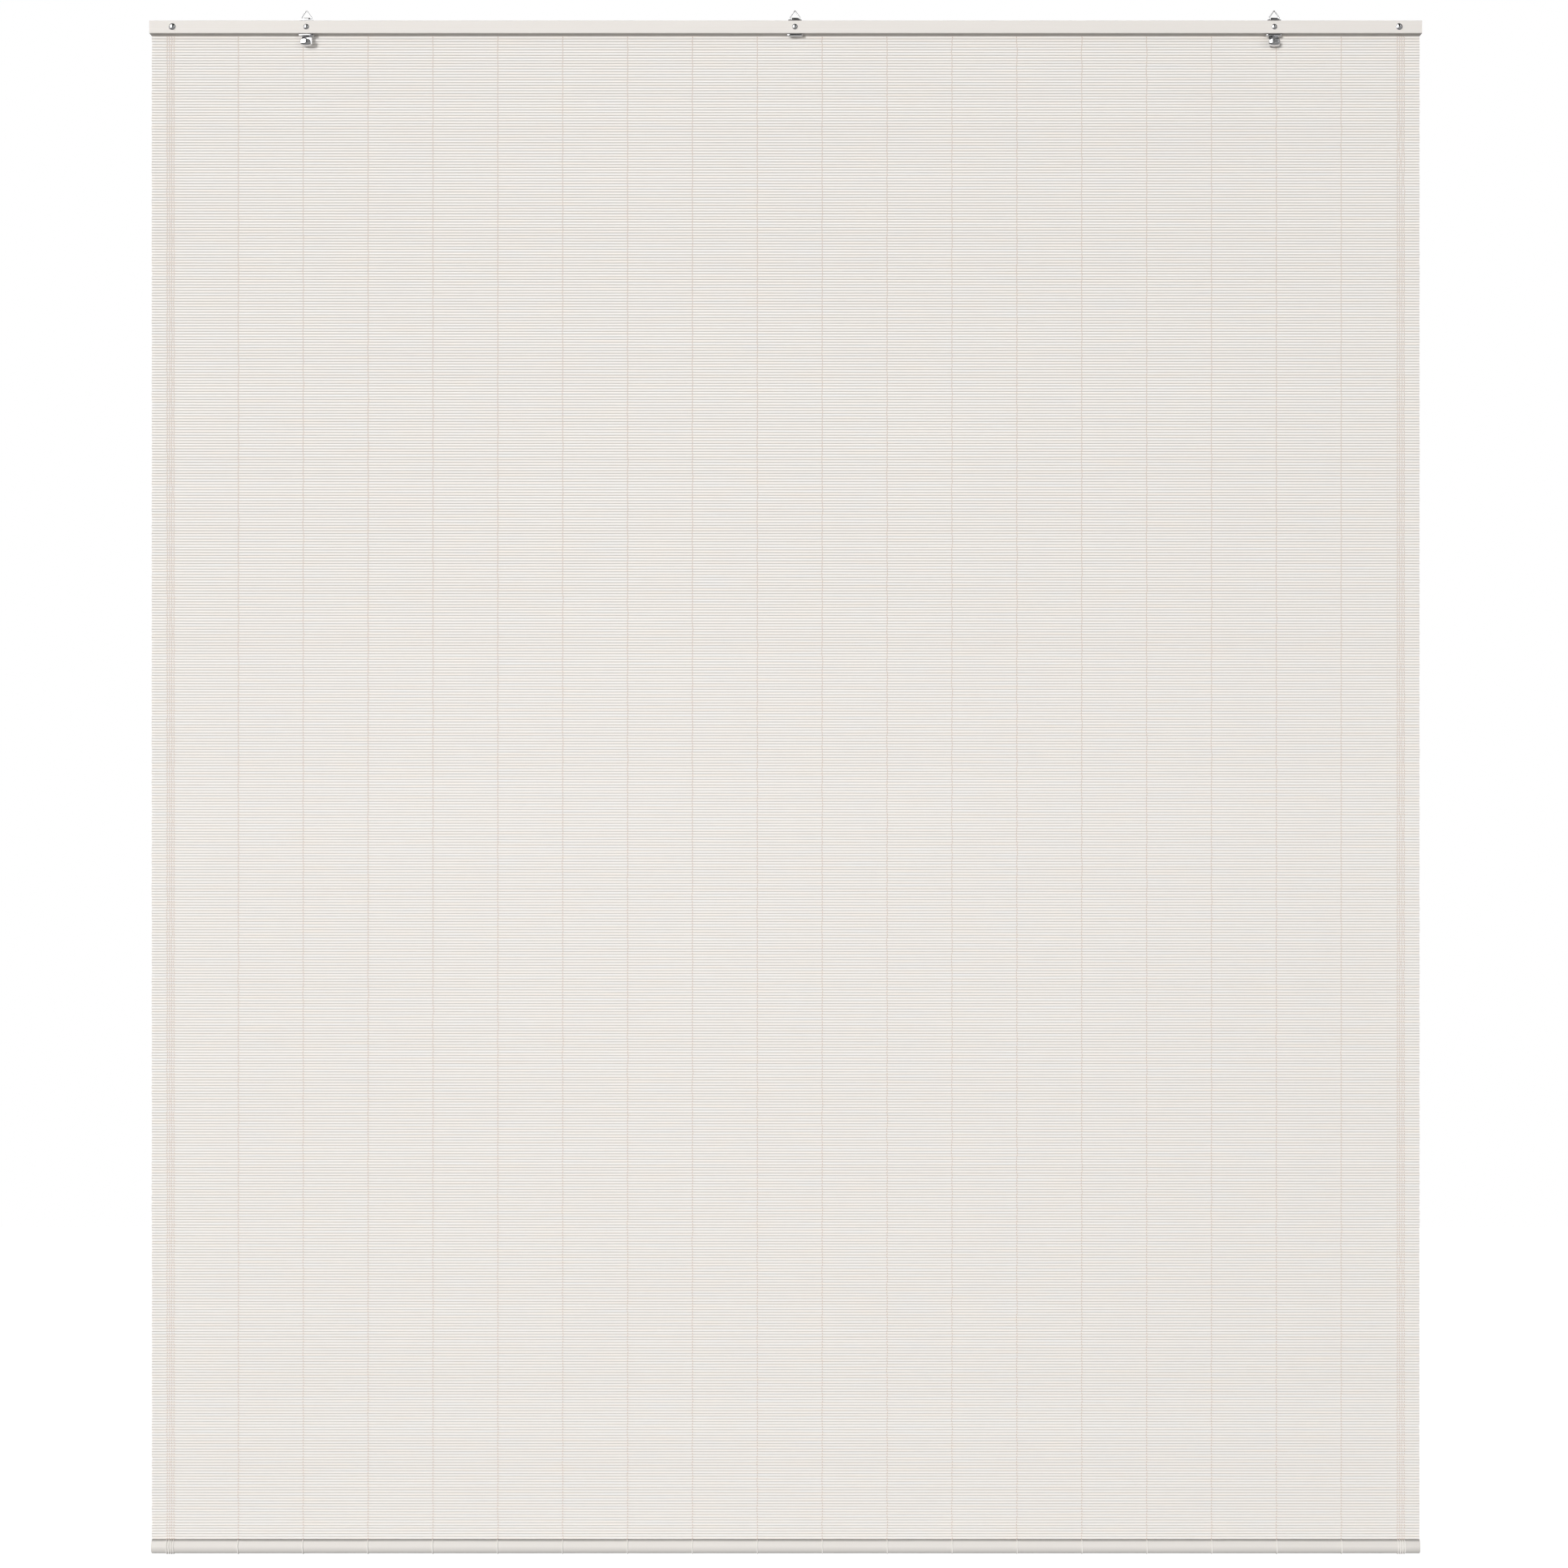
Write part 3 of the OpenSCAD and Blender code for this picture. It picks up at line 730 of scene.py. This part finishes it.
def string_tree():
    tree, given = new_tree(
        "warp_string", True, Half_Slat=0.00194, Swing=0.0007, Dip=0.0015, Thread=0.0003, Lash=0.0006,
        Rod_Top=-2.0, Middle=0.0, Scatter=0.00015, Wander=0.002, Seed=1, Cord=COTTON)
    line = add(tree, "GeometryNodeResampleCurve",
               {"Curve": given["Geometry"], "Length": given["Half Slat"]}, mode="LENGTH").outputs[0]
    spot = axes(tree, add(tree, "GeometryNodeInputPosition").outputs[0])
    on_mat = math_node(tree, "GREATER_THAN", spot["Z"], given["Rod Top"])
    move = string_moves(tree, given, spot, on_mat)
    line = add(tree, "GeometryNodeSetPosition", {"Geometry": line, "Offset": move}).outputs[0]
    radius = mixed(tree, on_mat, given["Lash"], given["Thread"])
    section = add(tree, "GeometryNodeCurvePrimitiveCircle",
                  {"Resolution": CORD_SIDES, "Radius": 1.0}).outputs[0]
    cord = add(tree, "GeometryNodeCurveToMesh",
               {"Curve": line, "Profile Curve": section, "Scale": radius, "Fill Caps": True}).outputs[0]
    cord = stored(tree, cord, "lash", math_node(tree, "SUBTRACT", 1.0, on_mat))
    return end_tree(tree, cord, given["Cord"])


# %% String paths
THREAD_R = 0.5 * MM
LASH_R = 0.68 * MM
GRIPPED_HALVES = 3
LASH_FROM, LASH_TO, LASH_STEP = 102, 438, 12


def string_path(x, name):
    top = MAT_LOW.z + (SLAT_COUNT + GRIPPED_HALVES / 2) * SLAT_PITCH
    front, back = MAT_LOW.y - THREAD_R, MAT_HIGH.y + THREAD_R
    points = [Vector((x, front, top)), Vector((x, front, MAT_LOW.z + LASH_R))]
    for facing in range(LASH_FROM, LASH_TO + 1, LASH_STEP):
        points.append(oval_point(x, math.radians(facing), LASH_R))
    points += [Vector((x, back, MAT_LOW.z + LASH_R)), Vector((x, back, top))]
    curve = bpy.data.curves.new(name, "CURVE")
    curve.dimensions = "3D"
    spline = curve.splines.new("POLY")
    spline.points.add(len(points) - 1)
    for target, point in zip(spline.points, points):
        target.co = (*point, 1)
    return curve


# %% Weave the strings
weave = string_tree()
for number, name in enumerate(STRING_NAMES):
    low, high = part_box(name)
    cord_mesh = grow(
        "cord_" + name[-2:], weave, string_path((low.x + high.x) / 2, name), Half_Slat=SLAT_PITCH / 2,
        Thread=THREAD_R, Lash=LASH_R, Rod_Top=MAT_LOW.z, Middle=MAT_MID_Y, Seed=number)
    place("cord_" + name[-2:], cord_mesh, "blind", "warp_cord", [name])
print("cord faces", len(cord_mesh.polygons), "in each of", len(STRING_NAMES))

# %% [markdown]
# ## Bright metal
# The clips, hooks, rings and nails are nickel-plated steel. Polished metal is nearly all
# reflection, so what matters is rounded edges and a trace of unevenness in the gloss.

# %% Metal finish
STEEL_GREYS = ((0.70, 0.70, 0.71), (0.82, 0.82, 0.83))
STEEL_ROUGH = (0.08, 0.2)
SMEAR_STRETCH = (140, 140, 140)
SMEAR_RELIEF = 0.05 * MM


def bright_steel():
    material, tree, surface = new_material("bright_steel")
    surface.inputs["Metallic"].default_value = 1.0
    smear = stretched_noise(tree, SMEAR_STRETCH, detail=5.0)
    tree.links.new(mixed_colour(tree, smear, *STEEL_GREYS), surface.inputs["Base Color"])
    tree.links.new(ramp(tree, smear, 0.0, 1.0, *STEEL_ROUGH), surface.inputs["Roughness"])
    bumped(tree, surface, smear, 0.15, SMEAR_RELIEF)
    return material


STEEL = bright_steel()
print("metal", STEEL.name)

# %% [markdown]
# ## Sheet metal, bent
# Clips and hooks are stamped strips that are bent along a path. The helper walks along the path
# of the strip's middle line and lays a row of points across it at each step. It can bow the strip
# across its width, and draw in its two edges, as a press does. Solidify gives the strip its
# thickness and Bevel rounds its edges.

# %% Strip helpers
STRIP_ACROSS = 18
STRIP_CHECKS = 40
STRIP_EASE = 0.25 * MM
DRAW_POWER = 7


def none(share):
    return 0.0


def strip_rows(x, path, half_width, bow, draw):
    rows = []
    widest = max(half_width(i / STRIP_CHECKS) for i in range(STRIP_CHECKS + 1))
    for i, (y, z) in enumerate(path):
        before, after = path[max(i - 1, 0)], path[min(i + 1, len(path) - 1)]
        along = Vector((0, after[0] - before[0], after[1] - before[1])).normalized()
        outward = along.cross(Vector((1, 0, 0)))
        share = i / (len(path) - 1)
        half, bowed, drawn = half_width(share), bow(share), draw(share)
        sideways = [half * math.sin(math.pi * (k / STRIP_ACROSS - 0.5)) for k in range(STRIP_ACROSS + 1)]
        lifts = [bowed * (0.5 - (u / widest) ** 2) - drawn * abs(u / half) ** DRAW_POWER for u in sideways]
        rows.append([Vector((x + u, y, z)) + outward * lift for u, lift in zip(sideways, lifts)])
    return rows


def thickened(name, mesh, thickness):
    strip = bpy.data.objects.new(name, mesh)
    bpy.context.scene.collection.objects.link(strip)
    wall = strip.modifiers.new("wall", "SOLIDIFY")
    wall.thickness, wall.offset = thickness, 0
    wall.use_even_offset = True
    ease = strip.modifiers.new("ease", "BEVEL")
    ease.width, ease.segments, ease.limit_method = STRIP_EASE, 2, "ANGLE"
    ease.angle_limit = math.radians(50)
    graph = bpy.context.evaluated_depsgraph_get()
    solid = bpy.data.meshes.new_from_object(strip.evaluated_get(graph), depsgraph=graph)
    bpy.data.objects.remove(strip)
    return solid


def bent_strip(name, x, path, half_width, thickness, bow=none, draw=none):
    build = bmesh.new()
    rows = strip_rows(x, path, half_width, bow, draw)
    verts = [[build.verts.new(point) for point in row] for row in rows]
    for here, there in zip(verts, verts[1:]):
        for k in range(STRIP_ACROSS):
            build.faces.new((here[k], here[k + 1], there[k + 1], there[k]))
    mesh = bpy.data.meshes.new(name)
    build.to_mesh(mesh)
    build.free()
    return thickened(name, mesh, thickness)

def joined(name, meshes):
    build = bmesh.new()
    for mesh in meshes:
        build.from_mesh(mesh)
    bmesh.ops.recalc_face_normals(build, faces=build.faces)
    whole = bpy.data.meshes.new(name)
    build.to_mesh(whole)
    build.free()
    whole.materials.append(STEEL)
    return whole


def arc(centre, radius, start, end, steps):
    turns = [math.radians(start + (end - start) * i / steps) for i in range(steps + 1)]
    return [(centre[0] + radius * math.cos(t), centre[1] + radius * math.sin(t)) for t in turns]


# %% [markdown]
# ## The hanger clips
# A clip wraps the front batten from behind: a flange on top, a plate at the back, a flange below
# that ends in a rolled bead. A tongue from the top flange is curled round the base of the ring.

# %% Clips
CLIP_T = 1.1 * MM
CURL_IN_R = 1.1 * MM
BEAD_IN_R = 1.0 * MM
CURL_W = 10.7 * MM
CLIP_CORNER = 1.2 * MM
CLIP_EASED = 0.12
BEAD_DRAW, BEAD_DRAW_STEPS = 0.8 * MM, 3
CURL_DRAW, CURL_DRAW_SHARE = 0.4 * MM, 0.2
BEAD_TURN, BEAD_STEPS = (90, 405), 26
CURL_TURN, CURL_STEPS = (225, -60), 28
RING_Z = frame["joints"][0]["pos_m"][2]


def make_clip(side):
    low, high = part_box(f"hanger_clip_{side}")
    half = (high.x - low.x) / 2
    mid = CLIP_T / 2
    front, plate = RAIL_LOW.y, high.y - mid
    top, bottom = RAIL_HIGH.z + mid, RAIL_LOW.z - mid
    bead_r = BEAD_IN_R + mid
    bead = (front + BEAD_IN_R + CLIP_T, RAIL_LOW.z - BEAD_IN_R - CLIP_T)
    path = [(front + 0.2 * i * (plate - front), top) for i in range(5)]
    path += arc((plate - mid, top - mid), mid, 90, 0, 4)
    path += [(plate, top - mid - i * (top - bottom - 2 * mid) / 6) for i in range(1, 6)]
    path += arc((plate - mid, bottom + mid), mid, 0, -90, 4)
    path += [(plate - mid + i * (bead[0] - plate + mid) / 4, bottom) for i in range(1, 4)]
    straight = len(path)
    path += arc(bead, bead_r, *BEAD_TURN, BEAD_STEPS)

    def bead_draw(share):
        into_bead = share * (len(path) - 1) - straight + BEAD_DRAW_STEPS
        return BEAD_DRAW * min(max(into_bead, 0) / BEAD_DRAW_STEPS, 1)

    def half_width(share):
        reach = min(share, 1 - share) / CLIP_EASED
        return half - CLIP_CORNER * (1 - math.sqrt(1 - (1 - min(reach, 1)) ** 2))

    body = bent_strip("clip_body", CLIP_X[side], path, half_width, CLIP_T, draw=bead_draw)
    curl_path = arc((0, RING_Z), CURL_IN_R + mid, *CURL_TURN, CURL_STEPS)
    tongue = bent_strip("clip_tongue", CLIP_X[side], curl_path, lambda share: CURL_W / 2, CLIP_T,
                        draw=lambda share: -CURL_DRAW * min(share / CURL_DRAW_SHARE, 1))
    mesh = joined(f"pressed_clip_{side}", [body, tongue])
    return place(f"pressed_clip_{side}", mesh, "blind", "bright_steel", [f"hanger_clip_{side}"])


print("clip faces", [len(make_clip(side).data.polygons) for side in SIDES])

# %% [markdown]
# ## The roll hooks
# Under the two outer clips hangs a hook: a bowed strip that drops from a foot, turns forward and
# ends in a lip with rounded corners. The tie that holds the rolled-up blind is laid in it.

# %% Hooks
HOOK_T = 1.2 * MM
HOOK_BOW, HOOK_BOW_STEPS = 1.6 * MM, 6
HOOK_CORNER = 3.5 * MM
HOOK_BEND_R = 3.4 * MM
HOOK_LIP, HOOK_LIP_SHARE = 3.7 * MM, 0.6
HOOK_FLARE = 0.12


def make_hook(side):
    low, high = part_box(f"roll_hook_{side}")
    mid = HOOK_T / 2
    half = (high.x - low.x) / 2
    bend_r = HOOK_BEND_R + mid
    neck = low.y + 2 * bend_r + mid
    bend = (neck - bend_r, low.z + bend_r + mid)
    foot_z = high.z - mid
    lip_top = bend[1] + HOOK_LIP
    path = [(high.y - i * (high.y - neck - mid) / 3, foot_z) for i in range(3)]
    path += arc((neck + mid, foot_z - mid), mid, 90, 180, 4)
    straight = len(path)
    path += [(neck, foot_z - mid + i * (bend[1] - foot_z + mid) / 9) for i in range(1, 9)]
    path += arc(bend, bend_r, 0, -180, 24)
    rises = [HOOK_LIP * math.sin(i * math.pi / 24) for i in range(1, 13)]
    path += [(bend[0] - bend_r - HOOK_FLARE * rise, bend[1] + rise) for rise in rises]

    def half_width(share):
        from_lip = lip_top - path[round(share * (len(path) - 1))][1]
        on_lip = share > HOOK_LIP_SHARE
        inset = max(HOOK_CORNER - from_lip, 0) if on_lip else 0
        return half - HOOK_CORNER + math.sqrt(max(HOOK_CORNER**2 - inset**2, 0))

    def bow(share):
        below_foot = share * (len(path) - 1) - straight
        return -HOOK_BOW * min(max(below_foot, 0) / HOOK_BOW_STEPS, 1)

    strip = bent_strip("hook_strip", CLIP_X[side], path, half_width, HOOK_T, bow=bow)
    mesh = joined(f"bent_hook_{side}", [strip])
    return place(f"bent_hook_{side}", mesh, "blind", "bright_steel", [f"roll_hook_{side}"])


print("hook faces", [len(make_hook(side).data.polygons) for side in ("left", "right")])

# %% [markdown]
# ## The hang rings
# Each ring is a triangle of spring wire with rounded corners. A closed path runs round it, and a
# small circle is carried along the path.

# %% Rings
RING_BASE = 17.6 * MM
RING_RISE = 12.3 * MM
RING_TOP_R = 1.2 * MM
RING_CORNER_R = 1.7 * MM
WIRE_SIDES = 14


def ring_path():
    slope = math.atan2(RING_RISE, RING_BASE / 2)
    corner_x = RING_BASE / 2 - RING_CORNER_R / math.tan(slope / 2)
    top_z = RING_RISE - RING_TOP_R / math.cos(slope)
    lean = math.degrees(slope)
    path = [(corner_x * i / 4, 0.0) for i in range(-3, 4)]
    path += arc((corner_x, RING_CORNER_R), RING_CORNER_R, -90, 90 - lean, 8)
    path += arc((0, top_z), RING_TOP_R, 90 - lean, 90 + lean, 14)
    path += arc((-corner_x, RING_CORNER_R), RING_CORNER_R, 90 + lean, 270, 8)
    return path


def make_ring(side):
    low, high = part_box(f"hang_ring_{side}")
    wire_r = (high.y - low.y) / 2
    path = [Vector((CLIP_X[side] + u, 0, RING_Z + v)) for u, v in ring_path()]
    turns = [2 * math.pi * k / WIRE_SIDES for k in range(WIRE_SIDES)]
    rings = []
    for i, point in enumerate(path):
        along = (path[(i + 1) % len(path)] - path[i - 1]).normalized()
        outward = along.cross(Vector((0, 1, 0)))
        spokes = [outward * math.cos(t) + Vector((0, math.sin(t), 0)) for t in turns]
        rings.append([point + wire_r * spoke for spoke in spokes])
    mesh = loft(f"wire_ring_{side}", rings, looped=True)
    mesh.materials.append(STEEL)
    return place(f"wire_ring_{side}", mesh, f"ring_{side}", "bright_steel", [f"hang_ring_{side}"])


print("ring faces", [len(make_ring(side).data.polygons) for side in SIDES])

# %% [markdown]
# ## The nails
# Round-headed upholstery nails hold the headrail together. The outline of a nail is turned
# round its axis, and a small tree sets a copy on each point that it is given.

# %% Nails
NAIL_SIDES = 32
NAIL_SHANK_R = 1.1 * MM
NAIL_POINT, NAIL_TIP_R = 2.0 * MM, 0.1 * MM
NAIL_RIM = 46
NAIL_EASE = 0.35 * MM
DOME_STEPS, EASE_STEPS = 12, 4


def nail_mesh(head_r, dome, length):
    rim = math.radians(NAIL_RIM)
    eased_r = head_r - NAIL_EASE * (1 - math.sin(rim))
    ball_r = eased_r / math.sin(rim)
    leans = [rim * i / DOME_STEPS for i in range(1, DOME_STEPS + 1)]
    outline = [(ball_r * math.sin(a), ball_r * (1 - math.cos(a)) - dome) for a in leans]
    leans = [rim + (math.pi / 2 - rim) * i / EASE_STEPS for i in range(1, EASE_STEPS + 1)]
    middle = (head_r - NAIL_EASE, outline[-1][1] + NAIL_EASE * math.cos(rim))
    outline += [(middle[0] + NAIL_EASE * math.sin(a), middle[1] - NAIL_EASE * math.cos(a)) for a in leans]
    outline += [(head_r, 0.0), (NAIL_SHANK_R, 0.0), (NAIL_SHANK_R, length - NAIL_POINT)]
    outline += [(NAIL_TIP_R, length)]
    turns = [2 * math.pi * k / NAIL_SIDES for k in range(NAIL_SIDES)]
    rings = [[Vector((r * math.cos(t), y, r * math.sin(t))) for t in turns] for r, y in outline]
    return loft("nail", rings)


def nail_tree(nail):
    tree, given = new_tree("dome_nails", True, Metal=STEEL)
    shape = add(tree, "GeometryNodeObjectInfo", {"Object": nail, "As Instance": True}).outputs["Geometry"]
    nails = add(tree, "GeometryNodeInstanceOnPoints",
                {"Points": given["Geometry"], "Instance": shape}).outputs[0]
    return end_tree(tree, nails, given["Metal"])


def make_nails(node, name):
    low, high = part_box(node)
    head_r = (high.z - low.z) / 2
    places = {"clip_nails": list(CLIP_X.values()), "end_nails": [low.x + head_r, high.x - head_r]}[node]
    nail = bpy.data.objects.new("one_nail", nail_mesh(head_r, RAIL_LOW.y - low.y, high.y - RAIL_LOW.y))
    bpy.context.scene.collection.objects.link(nail)
    points = bpy.data.meshes.new(name + "_places")
    points.from_pydata([(x, RAIL_LOW.y, RAIL_MID_Z) for x in places], [], [])
    mesh = grow(name, nail_tree(nail), points)
    bpy.data.objects.remove(nail)
    return place(name, mesh, "blind", "bright_steel", [node])


print("nail faces", len(make_nails("clip_nails", "domed_clip_nails").data.polygons),
      len(make_nails("end_nails", "domed_end_nails").data.polygons))

# %% [markdown]
# ## Sizes at the end
# The dressed blind has to stay inside the CAD box, apart from a little that cord may stand proud.
# The CAD box is printed here.

# %% Print the CAD box
print("cad", [tuple(round(v, 4) for v in c) for c in CAD_BOX])
